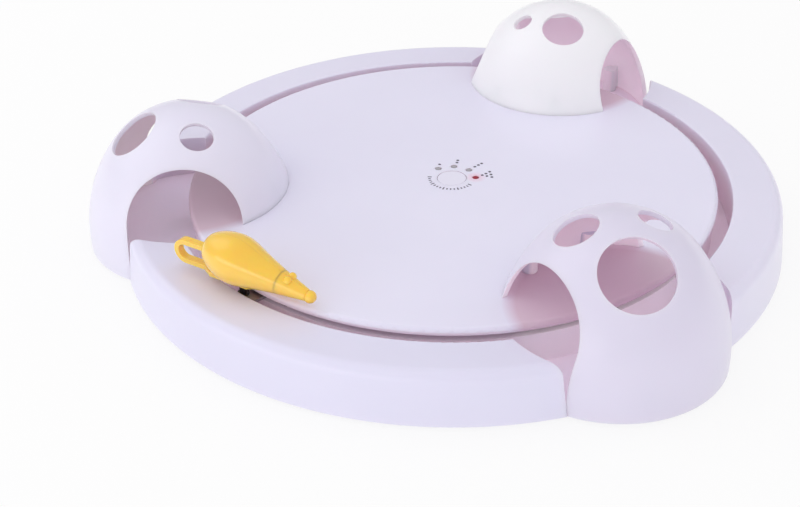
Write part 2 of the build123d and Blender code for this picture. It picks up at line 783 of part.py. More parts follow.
def tail_form():
    """Strap that loops behind the mouse and ends as a flat tongue under its belly."""
    middle = tail_underside + tail_thickness / 2
    upper = middle + 2 * tail_loop_radius
    loop_x = -tail_loop_back
    lower = Line((0, middle), (loop_x, middle))
    bend = ThreePointArc((loop_x, middle), (loop_x - tail_loop_radius, middle + tail_loop_radius), (loop_x, upper))
    top = Line((loop_x, upper), (mouse_radius * 0.4, upper))
    spine = Plane.XZ * Wire(Curve(children=[lower, bend, top]).edges())
    section = Plane(spine @ 0, z_dir=spine % 0) * Rectangle(tail_thickness, tail_width)
    if abs((Plane(spine @ 0, z_dir=spine % 0)).x_dir.Z) < 0.5:
        section = Plane(spine @ 0, z_dir=spine % 0) * Rectangle(tail_width, tail_thickness)
    half_strap = tail_width / 2
    half_tongue = tongue_width / 2
    shoulder = tongue_front - tongue_taper
    outline = Polyline(
        (-1, -half_strap), (tongue_taper, -half_tongue), (shoulder, -half_tongue), (tongue_front, -half_strap),
        (tongue_front, half_strap), (shoulder, half_tongue), (tongue_taper, half_tongue), (-1, half_strap),
        close=True)
    tongue = Pos(0, 0, tail_underside) * extrude(make_face(outline), tail_thickness)
    return sweep(section, path=spine) + tongue


def mouse_tail():
    """The looped tail and its tongue, with the hole for the post."""
    return mouse_frame() * (tail_form() - disc(post_radius + press_gap, 0, beyond, (mouse_post_place, 0)))


def mouse_post():
    """Dark pin that stands on the arm's tip and carries the mouse."""
    x, y = polar(groove_middle, arm_angle)
    pin = disc(post_radius, arm_bottom, post_top, (x, y))
    collar = tube(post_radius + 0.9, post_radius, arm_top, arm_top + 0.8, (x, y))
    return pin + collar


# Battery


def bay_x(side):
    """Inside face of the battery bay's end wall."""
    return side * bay_length / 2


def cell(row):
    """One AA cell lying across the bay; the middle one is turned round."""
    start = bay_x(-1) + contact_thickness + contact_bump_height
    can = extrude(Plane((start, 0, cell_height), z_dir=(1, 0, 0)) * Circle(cell_radius), cell_length)
    can = fillet(can.edges(), 0.6)
    nub = extrude(Plane((start + cell_length, 0, cell_height), z_dir=(1, 0, 0)) * Circle(cell_nub_radius),
                  cell_nub_length)
    turn = 180 if row == 0 else 0
    return Pos(0, bay_centre_y + row * cell_pitch, 0) * Rot(0, 0, turn) * (can + nub)


def cell_contacts():
    """Spring contacts on the cells' flat ends and plain ones on their nubs."""
    low = cell_height - contact_width / 2
    high = cell_height + contact_width / 2
    half = contact_width / 2
    found = []
    for row in (-1, 0, 1):
        flip = 180 if row == 0 else 0
        place = Pos(0, bay_centre_y + row * cell_pitch, 0) * Rot(0, 0, flip)
        x = bay_x(-1)
        sprung = block((x, x + contact_thickness), (-half, half), (low, high))
        bump = extrude(Plane((x + contact_thickness, 0, cell_height), z_dir=(1, 0, 0)) * Circle(contact_bump_radius),
                       contact_bump_height, taper=20)
        x = bay_x(1)
        plain = block((x - contact_thickness, x), (-half, half), (low, high))
        found += [place * (sprung + bump), place * plain]
    return Compound(children=found)


def battery_door():
    """Door under the bay, with four lugs that grip the opening and a finger notch."""
    half_length = bay_length / 2
    half_width = bay_width / 2
    length = half_length + door_margin
    width = half_width + door_margin
    panel = block((-length, length), (-width, width), (door_bottom, door_top))
    panel = fillet(panel.edges().filter_by(Axis.Z), 2)
    notch = Pos(length - 6, 0, door_bottom) * Cylinder(finger_notch_radius, 2 * finger_notch_depth)
    panel = panel - (notch & block((length - 10, length - 4), (-beyond, beyond), (0, beyond)))
    for side in (-1, 1):
        for end in (-1, 1):
            outer = side * (half_width - run_gap)
            inner = outer - side * door_lug_width
            start = end * (half_length - 6)
            stop = start - end * door_lug_length
            panel = panel + block((min(start, stop), max(start, stop)), (min(inner, outer), max(inner, outer)),
                                  (door_top, door_top + door_lug_height))
    return Pos(0, bay_centre_y, 0) * panel


parts = {
    "base_tray": base_tray(),
    "deck": deck(),
    "rubber_feet": rubber_feet(),
    "mode_button": mode_button(),
    "switch_plunger": switch_plunger(),
    "tact_switch": tact_switch(),
    "circuit_board": circuit_board(),
    "control_chip": control_chip(),
    "lamp_lit": lamp(lamp_angles[0]),
    "lamps_unlit": Compound(children=[lamp(angle) for angle in lamp_angles[1:]]),
    "hub_gear": hub_gear(),
    "second_gear": second_gear(),
    "first_gear": first_gear(),
    "motor_pinion": motor_pinion(),
    "motor_shaft": motor_shaft(),
    "drive_motor": drive_motor(),
    "gear_pins": gear_pins(),
    "gear_plate": gear_plate(),
    "spin_arm": spin_arm(),
    "roller_axle": roller_axle(),
    "arm_roller": arm_roller(),
    "mouse_body": mouse_body(),
    "mouse_tail": mouse_tail(),
    "mouse_post": mouse_post(),
    "cell_contacts": cell_contacts(),
    "battery_door": battery_door(),
    "rim_screws": screws(rim_boss_places, floor_bottom, floor_thickness + screw_bite - 1),
    "dome_screws": screws(at_all_domes(dome_boss_places), floor_bottom, floor_thickness + screw_bite - 1),
    "deck_screws": screws(at_all_domes(dome_foot_places), deck_bottom, deck_thickness + screw_bite - 2),
    "board_screws": screws(board_boss_places, board_top, board_thickness + small_screw_bite, True, True),
    "gear_plate_screws": screws(gear_posts, gear_plate_bottom + gear_plate_thickness,
                                gear_plate_thickness + small_screw_bite, True, True),
    "arm_screws": screws(arm_screw_places, arm_top, arm_thickness + hub_flange_height - 0.5, True, True),
}
for name in dome_angles:
    parts["dome_" + name] = dome(name)
for row, name in ((-1, "cell_front"), (0, "cell_middle"), (1, "cell_rear")):
    parts[name] = cell(row)
parts.update(rim_segments())

os.makedirs("parts", exist_ok=True)
to_middle = Pos(0, (ring_radius - dome_reach) / 2, 0)
for name, shape in parts.items():
    solids = [to_middle * solid for solid in shape.solids()]
    whole = solids[0] if len(solids) == 1 else Compound(children=solids)
    export_step(whole, f"parts/{name}.step")
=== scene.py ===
"""Automatic cat toy: a mouse on a hidden arm circles in a groove round a flat disc, through three domes."""
import math

import bmesh
import bpy
from mathutils import Matrix, Vector


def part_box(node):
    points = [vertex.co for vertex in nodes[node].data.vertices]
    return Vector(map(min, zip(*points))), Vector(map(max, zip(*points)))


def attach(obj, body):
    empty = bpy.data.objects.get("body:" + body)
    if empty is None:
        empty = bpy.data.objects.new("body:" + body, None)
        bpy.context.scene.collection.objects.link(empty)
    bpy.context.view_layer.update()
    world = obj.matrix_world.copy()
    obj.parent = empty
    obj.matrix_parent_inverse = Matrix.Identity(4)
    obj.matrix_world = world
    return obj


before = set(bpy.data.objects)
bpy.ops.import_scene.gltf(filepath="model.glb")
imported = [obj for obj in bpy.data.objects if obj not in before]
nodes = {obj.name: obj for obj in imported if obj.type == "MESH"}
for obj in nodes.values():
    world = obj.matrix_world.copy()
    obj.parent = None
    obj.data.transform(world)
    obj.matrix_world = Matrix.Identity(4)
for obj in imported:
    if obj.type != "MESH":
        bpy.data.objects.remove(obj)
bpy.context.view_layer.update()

# Floor tray and battery door. Injection-moulded gloss plastic in a lavender white, the same as all the
# shells: thin enough for light to soak through the walls. Hollows are painted a warm mauve shade, and the
# tray's hollows also get a painted glow. The tool was polished outside, which leaves a faint orange peel,
# and handling leaves fine scuffs.


def add_sockets(tree, direction, rows):
    """Named inputs or outputs on a shader node group, each with its kind and an input's usual value."""
    for name, kind, *value in rows:
        socket = tree.interface.new_socket(name=name, in_out=direction, socket_type="NodeSocket" + kind)
        if value:
            socket.default_value = value[0]


def set_inputs(node, values):
    """Fixed values for a node's inputs, by name."""
    for name, value in values.items():
        node.inputs[name].default_value = value


def feed(tree, socket, value):
    """Puts a plain number or tuple on an input, or links another node's output to it."""
    if isinstance(value, (int, float, tuple)):
        socket.default_value = value
    else:
        tree.links.new(value, socket)


def mask_between(tree, source, low, high):
    """A value that rises from 0 at low to 1 at high."""
    ramp = tree.nodes.new("ShaderNodeMapRange")
    set_inputs(ramp, {"From Min": low, "From Max": high})
    tree.links.new(source, ramp.inputs["Value"])
    return ramp.outputs["Result"]


def sum_of(tree, first, second, operation="ADD"):
    """Two values put together by one math node; either may be a plain number."""
    node = tree.nodes.new("ShaderNodeMath")
    node.operation = operation
    for socket, value in zip(node.inputs, (first, second)):
        feed(tree, socket, value)
    return node.outputs[0]


def product_of(tree, first, second):
    """Two values multiplied; either may be a plain number."""
    return sum_of(tree, first, second, "MULTIPLY")


def vectors_joined(tree, operation, first, second, output="Value"):
    """Two vectors put together by one vector math node; either may be a plain tuple."""
    node = tree.nodes.new("ShaderNodeVectorMath")
    node.operation = operation
    for socket, value in zip(node.inputs, (first, second)):
        feed(tree, socket, value)
    return node.outputs[output]


def scaled_colour(tree, colour, factor):
    """A colour made lighter or darker by a factor."""
    node = tree.nodes.new("ShaderNodeVectorMath")
    node.operation = "SCALE"
    feed(tree, node.inputs[0], colour)
    tree.links.new(factor, node.inputs["Scale"])
    return node.outputs["Vector"]


def colour_blend(tree, share, first, second):
    """Colour first where share is 0 and colour second where it is 1."""
    node = tree.nodes.new("ShaderNodeMix")
    node.data_type = "RGBA"
    tree.links.new(share, node.inputs["Factor"])
    for name, colour in (("A", first), ("B", second)):
        feed(tree, node.inputs[name], (*colour, 1) if isinstance(colour, tuple) else colour)
    return node.outputs["Result"]


def object_place(tree):
    """Where a point lies on its piece, in metres."""
    return tree.nodes.new("ShaderNodeTexCoord").outputs["Object"]


def axis_of(tree, vector, axis):
    """One coordinate of a vector."""
    split = tree.nodes.new("ShaderNodeSeparateXYZ")
    tree.links.new(vector, split.inputs[0])
    return split.outputs[axis]


def near(tree, spot, outside, inside):
    """A value that rises from 0 to 1 between two distances from a fixed spot."""
    return mask_between(tree, vectors_joined(tree, "DISTANCE", object_place(tree), spot), outside, inside)


def noise(tree, vector, scale, detail=2):
    """Cloudy noise at a scale."""
    node = tree.nodes.new("ShaderNodeTexNoise")
    set_inputs(node, {"Scale": scale, "Detail": detail})
    tree.links.new(vector, node.inputs["Vector"])
    return node.outputs["Fac"]


def stretched(tree, vector, turn, stretch):
    """Coordinates turned and stretched, for scratches and brushed grain."""
    node = tree.nodes.new("ShaderNodeMapping")
    node.inputs["Rotation"].default_value = turn
    feed(tree, node.inputs["Scale"], stretch)
    tree.links.new(vector, node.inputs["Vector"])
    return node.outputs["Vector"]


moulded = bpy.data.node_groups.new("moulded_surface", "ShaderNodeTree")
add_sockets(moulded, "INPUT", (
    ("Plastic Colour", "Color", (0.8, 0.78, 0.88, 1)), ("Recess Colour", "Color", (0.6, 0.45, 0.5, 1)),
    ("Recess Reach", "Float", 0.02), ("Recess Amount", "Float", 0.7), ("Roughness", "Float", 0.25),
    ("Peel Depth", "Float", 0.05), ("Scuffs", "Float", 0.3), ("Centre", "Vector", (0, 0, 0)),
    ("Both Sides", "Float", 1)))
add_sockets(moulded, "OUTPUT", (
    ("Colour", "Color"), ("Hollow", "Float"), ("Roughness", "Float"), ("Normal", "Vector")))
given = moulded.nodes.new("NodeGroupInput").outputs
result = moulded.nodes.new("NodeGroupOutput").inputs
place = object_place(moulded)
# Painted shade: where ambient occlusion finds a hollow, the colour is blended towards the recess colour. On most
# pieces that is a darker painted shade, mauve on the shells; on the rubber feet it is dust and on the gears grease.
# The Hollow output carries this mask.
occlusion = moulded.nodes.new("ShaderNodeAmbientOcclusion")
occlusion.samples = 8
moulded.links.new(given["Recess Reach"], occlusion.inputs["Distance"])
open_share, closed_share = 0.7, 0.15
hidden = mask_between(moulded, occlusion.outputs["AO"], open_share, closed_share)
outside_normal = moulded.nodes.new("ShaderNodeNewGeometry").outputs["Normal"]
outward = vectors_joined(moulded, "SUBTRACT", place, given["Centre"], "Vector")
facing = vectors_joined(moulded, "DOT_PRODUCT", outward, outside_normal)
not_underneath = mask_between(moulded, axis_of(moulded, outside_normal, "Z"), -0.9, -0.7)
inner = sum_of(moulded, mask_between(moulded, facing, -0.012, -0.03),
               product_of(moulded, not_underneath, given["Both Sides"]), "MAXIMUM")
depth = product_of(moulded, product_of(moulded, hidden, inner), given["Recess Amount"])
moulded.links.new(depth, result["Hollow"])
cloudy = mask_between(moulded, noise(moulded, place, 14, 3), 0.3, 0.7)
mottled = scaled_colour(moulded, given["Plastic Colour"], sum_of(moulded, product_of(moulded, cloudy, 0.03), 0.975))
# The painted recess shade (dust on the feet, grease on the gears) is blended into the colour here.
moulded.links.new(colour_blend(moulded, depth, mottled, given["Recess Colour"]), result["Colour"])
scratch_a = noise(moulded, stretched(moulded, place, (0, 0, 0.5), (900, 14, 60)), 1.0, 1)
scratch_b = noise(moulded, stretched(moulded, place, (0, 0, -0.9), (12, 800, 60)), 1.0, 1)
scratches = sum_of(moulded, mask_between(moulded, scratch_a, 0.68, 0.74),
                   mask_between(moulded, scratch_b, 0.69, 0.75), "MAXIMUM")
patches = mask_between(moulded, noise(moulded, place, 30, 2), 0.5, 0.62)
scuffed = product_of(moulded, product_of(moulded, scratches, patches), given["Scuffs"])
wiped = sum_of(moulded, product_of(moulded, noise(moulded, place, 55, 4), 0.12), -0.04)
worn = sum_of(moulded, sum_of(moulded, wiped, given["Roughness"]), product_of(moulded, scuffed, 0.3))
moulded.links.new(worn, result["Roughness"])
relief = moulded.nodes.new("ShaderNodeBump")
relief.inputs["Distance"].default_value = 0.0003
peel = sum_of(moulded, noise(moulded, place, 420, 2), product_of(moulded, scuffed, -0.4))
moulded.links.new(peel, relief.inputs["Height"])
moulded.links.new(given["Peel Depth"], relief.inputs["Strength"])
moulded.links.new(relief.outputs["Normal"], result["Normal"])


def group_material(name, group, values):
    """A material whose colour, roughness and normal come from a surface group, with its shader node."""
    material = bpy.data.materials.new(name)
    material.use_nodes = True
    tree = material.node_tree
    shader = tree.nodes["Principled BSDF"]
    surface = tree.nodes.new("ShaderNodeGroup")
    surface.node_tree = group
    set_inputs(surface, values)
    for output, socket in (("Colour", "Base Color"), ("Roughness", "Roughness"), ("Normal", "Normal")):
        tree.links.new(surface.outputs[output], shader.inputs[socket])
    return material, shader


def moulded_material(name, colour, recess, reach, amount, roughness, peel_depth=0.04, scuffs=0.3):
    """Principled plastic with the moulded surface group; returns it with its shader node."""
    return group_material(name, moulded, {
        "Plastic Colour": (*colour, 1), "Recess Colour": (*recess, 1), "Recess Reach": reach,
        "Recess Amount": amount, "Roughness": roughness, "Peel Depth": peel_depth, "Scuffs": scuffs})


def surface_of(shader):
    """The surface group that feeds a Principled node."""
    return shader.inputs["Base Color"].links[0].from_node


def dress(node, material):
    """Gives a CAD node its finish."""
    for slot in nodes[node].material_slots:
        slot.material = material


def shell_finish(node, colour, soak, spread, glow=0.0, centre=None, recess=(0.95, 0.77, 0.87), reach=0.03):
    """Gloss shell plastic that light soaks into as far as spread. Its hollows get a painted mauve shade and, where
    glow is given, a painted glow that is strongest low down.
    """
    material, shader = moulded_material(node + "_plastic", colour, recess, reach, 1.0, 0.3, 0.03, 0.15)
    set_inputs(shader, {"Subsurface Weight": soak, "Subsurface Radius": (1.0, 0.85, 0.92),
                        "Subsurface Scale": spread, "Coat Weight": 0.15, "Coat Roughness": 0.1})
    tree = material.node_tree
    surface = surface_of(shader)
    if centre:
        set_inputs(surface, {"Centre": centre, "Both Sides": 0})
    # Painted glow: emission in the hollows, strongest low down, stands in for light through the walls.
    if glow:
        low_down = mask_between(tree, axis_of(tree, object_place(tree), "Z"), 0.05, 0.005)
        strength = sum_of(tree, product_of(tree, low_down, 1.5), 0.3)
        light = scaled_colour(tree, (0.95 * glow, 0.82 * glow, 0.92 * glow),
                              product_of(tree, strength, surface.outputs["Hollow"]))
        tree.links.new(light, shader.inputs["Emission Color"])
        shader.inputs["Emission Strength"].default_value = 1.0
    dress(node, material)
    return shader


tray_shader = shell_finish("base_tray", (0.78, 0.755, 0.93), 0.5, 0.006, 0.03, reach=0.05)
shell_finish("battery_door", (0.77, 0.75, 0.91), 0.3, 0.004)

# Rubber feet. Six grey rubber pads pressed into recesses under the tray, a little dusty at the rim,
# where they pick up dirt from the floor.
dress("rubber_feet", moulded_material(
    "foot_rubber", (0.055, 0.053, 0.058), (0.12, 0.115, 0.11), 0.003, 0.6, 0.75, 0.25, 0.8)[0])

# Battery bay. Three plain wrapped cells lie side by side, the middle one turned round: a dark wrap with a
# copper band at the end with the nub. Nickel-plated sheet contacts stand at both ends of the bay.


def cell_finish(node, nub_side):
    """A shrink-wrapped cell, drawn along X from its own two ends. Edges fade over a tenth or two of a mm."""
    low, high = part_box(node)
    length = high[0] - low[0]
    nub_end = high[0] if nub_side > 0 else low[0]
    band_edge = 0.0132, 0.0130
    stripe_start, stripe_stop = (0.0142, 0.0143), (0.0150, 0.0149)
    nub_edge = 0.0014, 0.0013
    flat_edge = length - 0.0004, length - 0.0003
    # The wrap's recess colour is a darker painted shade in its hollows.
    material, shader = moulded_material(node + "_wrap", (0.02, 0.03, 0.1), (0.01, 0.01, 0.03), 0.003, 0.4, 0.28)
    tree = material.node_tree
    along = product_of(tree, sum_of(tree, axis_of(tree, object_place(tree), "X"), -nub_end), -nub_side)
    band = mask_between(tree, along, *band_edge)
    stripe = product_of(tree, mask_between(tree, along, *stripe_start), mask_between(tree, along, *stripe_stop))
    bare = sum_of(tree, mask_between(tree, along, *nub_edge), mask_between(tree, along, *flat_edge), "MAXIMUM")
    wrap = surface_of(shader).outputs["Colour"]
    for share, colour in ((band, (0.55, 0.25, 0.08)), (stripe, (0.55, 0.53, 0.5)), (bare, (0.66, 0.65, 0.63))):
        wrap = colour_blend(tree, share, wrap, colour)
    tree.links.new(wrap, shader.inputs["Base Color"])
    tree.links.new(sum_of(tree, bare, band, "MAXIMUM"), shader.inputs["Metallic"])
    dress(node, material)


cell_finish("cell_front", 1)
cell_finish("cell_middle", -1)
cell_finish("cell_rear", 1)

brushed = bpy.data.node_groups.new("brushed_metal", "ShaderNodeTree")
add_sockets(brushed, "INPUT", (
    ("Metal Colour", "Color", (0.6, 0.6, 0.62, 1)), ("Grain Stretch", "Vector", (900, 900, 40)),
    ("Roughness", "Float", 0.3), ("Grain Depth", "Float", 0.15)))
add_sockets(brushed, "OUTPUT", (("Colour", "Color"), ("Roughness", "Float"), ("Normal", "Vector")))
given = brushed.nodes.new("NodeGroupInput").outputs
result = brushed.nodes.new("NodeGroupOutput").inputs
place = object_place(brushed)
grain = noise(brushed, stretched(brushed, place, (0, 0, 0), given["Grain Stretch"]), 1.0, 3)
tarnish = mask_between(brushed, noise(brushed, place, 180, 3), 0.45, 0.75)
shade = scaled_colour(brushed, given["Metal Colour"], sum_of(brushed, product_of(brushed, grain, 0.3), 0.85))
dulled = colour_blend(brushed, product_of(brushed, tarnish, 0.35), shade, (0.33, 0.3, 0.27))
brushed.links.new(dulled, result["Colour"])
rough = sum_of(brushed, product_of(brushed, sum_of(brushed, grain, -0.5), 0.25), given["Roughness"])
brushed.links.new(sum_of(brushed, rough, product_of(brushed, tarnish, 0.12)), result["Roughness"])
relief = brushed.nodes.new("ShaderNodeBump")
relief.inputs["Distance"].default_value = 0.0001
brushed.links.new(grain, relief.inputs["Height"])
brushed.links.new(given["Grain Depth"], relief.inputs["Strength"])
brushed.links.new(relief.outputs["Normal"], result["Normal"])


def metal_finish(node, colour, stretch, roughness, depth_of_grain=0.2):
    """Bare metal with the grain that turning, rolling or plating leaves."""
    material, shader = group_material(node + "_metal", brushed, {
        "Metal Colour": (*colour, 1), "Grain Stretch": stretch, "Roughness": roughness,
        "Grain Depth": depth_of_grain})
    shader.inputs["Metallic"].default_value = 1.0
    dress(node, material)


metal_finish("cell_contacts", (0.74, 0.72, 0.68), (60, 900, 900), 0.22)

# Gear train. The hub gear, two compound gears and the motor's pinion are moulded in natural acetal,
# chalky and faintly yellow, with amber grease left between the teeth.
for node in ("hub_gear", "second_gear", "first_gear", "motor_pinion"):
    acetal, shader = moulded_material(
        node + "_acetal", (0.82, 0.81, 0.74), (0.50, 0.36, 0.12), 0.0025, 0.55, 0.42, 0.06, 0.4)
    set_inputs(shader, {"Subsurface Weight": 0.5, "Subsurface Radius": (1.0, 0.9, 0.7),
                        "Subsurface Scale": 0.002})
    dress(node, acetal)

# Gear plate, pins and motor. A rolled steel plate holds two ground steel pins, and the motor is a
# drawn steel can, zinc-plated, with a ground shaft.
metal_finish("gear_plate", (0.62, 0.62, 0.63), (900, 30, 900), 0.34)
metal_finish("gear_pins", (0.70, 0.70, 0.71), (60, 60, 2500), 0.18, 0.1)
metal_finish("drive_motor", (0.63, 0.64, 0.66), (200, 200, 1500), 0.3)
metal_finish("motor_shaft", (0.72, 0.72, 0.73), (60, 60, 2500), 0.15, 0.1)

# Circuit board and switch. Green solder mask with tinned pads and dark tracks, a black epoxy chip and
# a tact switch with a sheet steel cover and a black plunger under the button.
# The mask's recess colour is a darker painted shade in its hollows.
board_mask, shader = moulded_material("board_mask", (0.008, 0.085, 0.03), (0.003, 0.03, 0.01), 0.002, 0.5, 0.3)
tree = board_mask.node_tree
cells = tree.nodes.new("ShaderNodeTexVoronoi")
cells.distance = "CHEBYCHEV"
cells.feature = "F1"
set_inputs(cells, {"Scale": 260, "Randomness": 0.6})
tree.links.new(object_place(tree), cells.inputs["Vector"])
pads = mask_between(tree, cells.outputs["Distance"], 0.22, 0.20)
tracks = product_of(tree, mask_between(tree, cells.outputs["Distance"], 0.42, 0.44),
                    mask_between(tree, cells.outputs["Distance"], 0.50, 0.48))
printed = colour_blend(tree, tracks, surface_of(shader).outputs["Colour"], (0.03, 0.18, 0.07))
tree.links.new(colour_blend(tree, pads, printed, (0.62, 0.60, 0.56)), shader.inputs["Base Color"])
tree.links.new(pads, shader.inputs["Metallic"])
dress("circuit_board", board_mask)
# The chip's and plunger's recess colour is a darker painted shade.
for node in ("control_chip", "switch_plunger"):
    dress(node, moulded_material(
        node + "_black", (0.014, 0.014, 0.015), (0.004, 0.004, 0.004), 0.001, 0.5, 0.5, 0.3, 0.2)[0])
metal_finish("tact_switch", (0.68, 0.67, 0.65), (900, 60, 900), 0.3)

# Spin arm. Pressed steel with a black baked paint, worn to bare metal along its edges. It runs on a
# black nylon roller and a steel axle.
arm_paint, shader = moulded_material(
    "arm_paint", (0.013, 0.013, 0.015), (0.03, 0.026, 0.022), 0.004, 0.5, 0.42, 0.5, 0.7)
tree = arm_paint.node_tree
edges = tree.nodes.new("ShaderNodeAmbientOcclusion")
edges.inside = True
edges.samples = 6
edges.inputs["Distance"].default_value = 0.0006
chips = product_of(tree, noise(tree, object_place(tree), 900, 3), 0.35)
bare = mask_between(tree, sum_of(tree, edges.outputs["AO"], chips), 0.62, 0.72)
tree.links.new(colour_blend(tree, bare, surface_of(shader).outputs["Colour"], (0.45, 0.44, 0.43)),
               shader.inputs["Base Color"])
tree.links.new(bare, shader.inputs["Metallic"])
dress("spin_arm", arm_paint)
dress("arm_roller", moulded_material(
    "roller_nylon", (0.02, 0.02, 0.021), (0.05, 0.045, 0.04), 0.002, 0.5, 0.5, 0.1, 0.8)[0])
metal_finish("roller_axle", (0.7, 0.7, 0.71), (2500, 2500, 60), 0.18, 0.1)

# Deck. The round top plate, moulded in the shell plastic: the face that paws slide over, so it has the
# most scuffs, with a thin edge turned down into the groove. Under the domes it is painted a darker mauve
# for their shade.
deck_shader = shell_finish("deck", (0.80, 0.78, 0.94), 0.3, 0.003, reach=0.02)
deck_surface = surface_of(deck_shader)
deck_surface.inputs["Scuffs"].default_value = 0.3
button_low, button_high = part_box("mode_button")
spin_y = (button_low[1] + button_high[1]) / 2
dome_low, dome_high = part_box("dome_rear")
dome_orbit = (dome_low[1] + dome_high[1]) / 2 - spin_y
dome_middles = {}
for name, angle in (("rear", 90), ("left", 210), ("right", 330)):
    dome_middles[name] = (dome_orbit * math.cos(math.radians(angle)),
                          spin_y + dome_orbit * math.sin(math.radians(angle)))
shade_height = 0.025
shade_edge = 0.0465, 0.0405
tree = deck_shader.id_data
# Painted shade: within each dome's footprint the deck's colour is blended towards a dark mauve.
painted_dome_shade = 0
for middle in dome_middles.values():
    painted_dome_shade = sum_of(tree, near(tree, (*middle, shade_height), *shade_edge), painted_dome_shade)
shaded = colour_blend(tree, product_of(tree, painted_dome_shade, 0.8), deck_surface.outputs["Colour"], (0.65, 0.46, 0.55))

# Button and lamps. A round push button in the middle of the deck, with four small lamps beside it.
# The first lamp is lit red, and a pink halo of its light is painted on the plastic around it.
# The button's recess colour is a darker painted shade in its hollows.
dress("mode_button", moulded_material(
    "button_plastic", (0.79, 0.77, 0.90), (0.30, 0.24, 0.32), 0.002, 0.8, 0.3)[0])
# The red lens's recess colour is a darker painted shade.
lit_lens, shader = moulded_material("lit_lens", (0.20, 0.012, 0.03), (0.10, 0.005, 0.01), 0.0012, 0.6, 0.15)
set_inputs(shader, {"Emission Color": (0.9, 0.05, 0.08, 1), "Emission Strength": 0.12})
dress("lamp_lit", lit_lens)
lamp_low, lamp_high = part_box("lamp_lit")
lamp_top = (lamp_low[0] + lamp_high[0]) / 2, (lamp_low[1] + lamp_high[1]) / 2, lamp_high[2]
# Painted light: a pink halo round the lit lamp, blended into the deck's colour.
painted_lamp_halo = product_of(tree, near(tree, lamp_top, 0.005, 0.001), 0.5)
tree.links.new(colour_blend(tree, painted_lamp_halo, shaded, (0.9, 0.42, 0.52)), deck_shader.inputs["Base Color"])
# The grey lenses' recess colour is a darker painted shade.
dress("lamps_unlit", moulded_material(
    "grey_lens", (0.40, 0.385, 0.42), (0.12, 0.1, 0.12), 0.0012, 0.6, 0.15)[0])

# Dial print. Grey-violet ink pad-printed on the deck in one layer: one, two, three and six dots beyond
# the four lamps for the speeds, and plain ticks round the near side of the button. The dots are placed
# in millimetres and degrees from the middle of the button.
speed_dots = ((14.2, 141.0), (14.8, 107.5), (17.0, 107.5), (15.1, 71.5), (17.4, 71.5), (19.6, 71.5),
              (14.3, 37.5), (16.3, 41.3), (16.3, 33.2), (18.5, 45.2), (18.4, 37.3), (18.5, 29.4))
dot_radius = 0.00068
ink_depth = 0.00004
ink_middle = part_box("deck")[1][2] + ink_depth / 2
tick_count, first_tick, tick_step = 17, 201, 9.3
tick_ring, tick_width = 0.0103, 0.0006
long_tick, short_tick = 0.0019, 0.0012
print_mesh = bpy.data.meshes.new("dial_print")
bm = bmesh.new()
for reach, turn in speed_dots:
    spot = (reach * 0.001 * math.cos(math.radians(turn)), reach * 0.001 * math.sin(math.radians(turn)) + spin_y,
            ink_middle)
    bmesh.ops.create_cone(bm, cap_ends=True, segments=20, radius1=dot_radius, radius2=dot_radius, depth=ink_depth,
                          matrix=Matrix.Translation(spot))
for step in range(tick_count):
    turn = Matrix.Rotation(math.radians(first_tick + step * tick_step), 4, "Z")
    tall = long_tick if step % 4 == 0 else short_tick
    outward = turn @ Matrix.Translation((tick_ring, 0, 0)) @ Matrix.Diagonal((tall, tick_width, ink_depth, 1))
    bmesh.ops.create_cube(bm, size=1.0, matrix=Matrix.Translation((0, spin_y, ink_middle)) @ outward)
bm.to_mesh(print_mesh)
bm.free()
dial_print = bpy.data.objects.new("dial_print", print_mesh)
bpy.context.scene.collection.objects.link(dial_print)
# The ink's recess colour is a slightly darker painted shade.
ink, shader = moulded_material("dial_ink", (0.10, 0.09, 0.13), (0.05, 0.05, 0.06), 0.001, 0.1, 0.5, 0.1, 0.2)
tree = ink.node_tree
patchy = mask_between(tree, noise(tree, object_place(tree), 1500, 3), 0.4, 0.75)
tree.links.new(colour_blend(tree, product_of(tree, patchy, 0.3), surface_of(shader).outputs["Colour"],
                            (0.42, 0.40, 0.50)), shader.inputs["Base Color"])
print_mesh.materials.append(ink)
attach(dial_print, "base")

# Rims. Three raised rim segments between the domes, moulded in the shell plastic with a rounded outer
# shoulder. Each gets a lighter or darker copy of the plastic colour as painted light and shade, and the
# mauve painted shade in its hollows.
for node, colour in (("rim_front", (0.75, 0.73, 0.90)), ("rim_right", (0.785, 0.76, 0.92)),
                     ("rim_left", (0.78, 0.755, 0.92))):
    shell_finish(node, colour, 0.35, 0.004, centre=(0, spin_y, 0))

# Domes. Three see-in shells, each with two tunnel mouths over the groove and its own peep holes. The
# walls are 2 mm thick. Each dome is a lighter or darker copy of the shell colour as painted light and
# shade, the rear one lightest and the right one darkest. Their insides get a painted mauve shade and a
# painted glow, and so does the tray in the right one.
shell_finish("dome_rear", (0.93, 0.925, 0.995), 0.5, 0.006, 0.075, (*dome_middles["rear"], 0), reach=0.1)
shell_finish("dome_left", (0.78, 0.755, 0.925), 0.5, 0.006, 0.02, (*dome_middles["left"], 0),
             (0.86, 0.77, 0.79), 0.1)
shell_finish("dome_right", (0.71, 0.685, 0.835), 0.5, 0.006, 0.11, (*dome_middles["right"], 0), reach=0.1)
# Painted glow: under the right dome the tray's glow in its hollows is set to an even pale light.
tree = tray_shader.id_data
under_dome = product_of(tree, near(tree, (*dome_middles["right"], shade_height), *shade_edge),
                        surface_of(tray_shader).outputs["Hollow"])
tray_light = tray_shader.inputs["Emission Color"]
tree.links.new(colour_blend(tree, under_dome, tray_light.links[0].from_socket, (0.10, 0.105, 0.10)), tray_light)

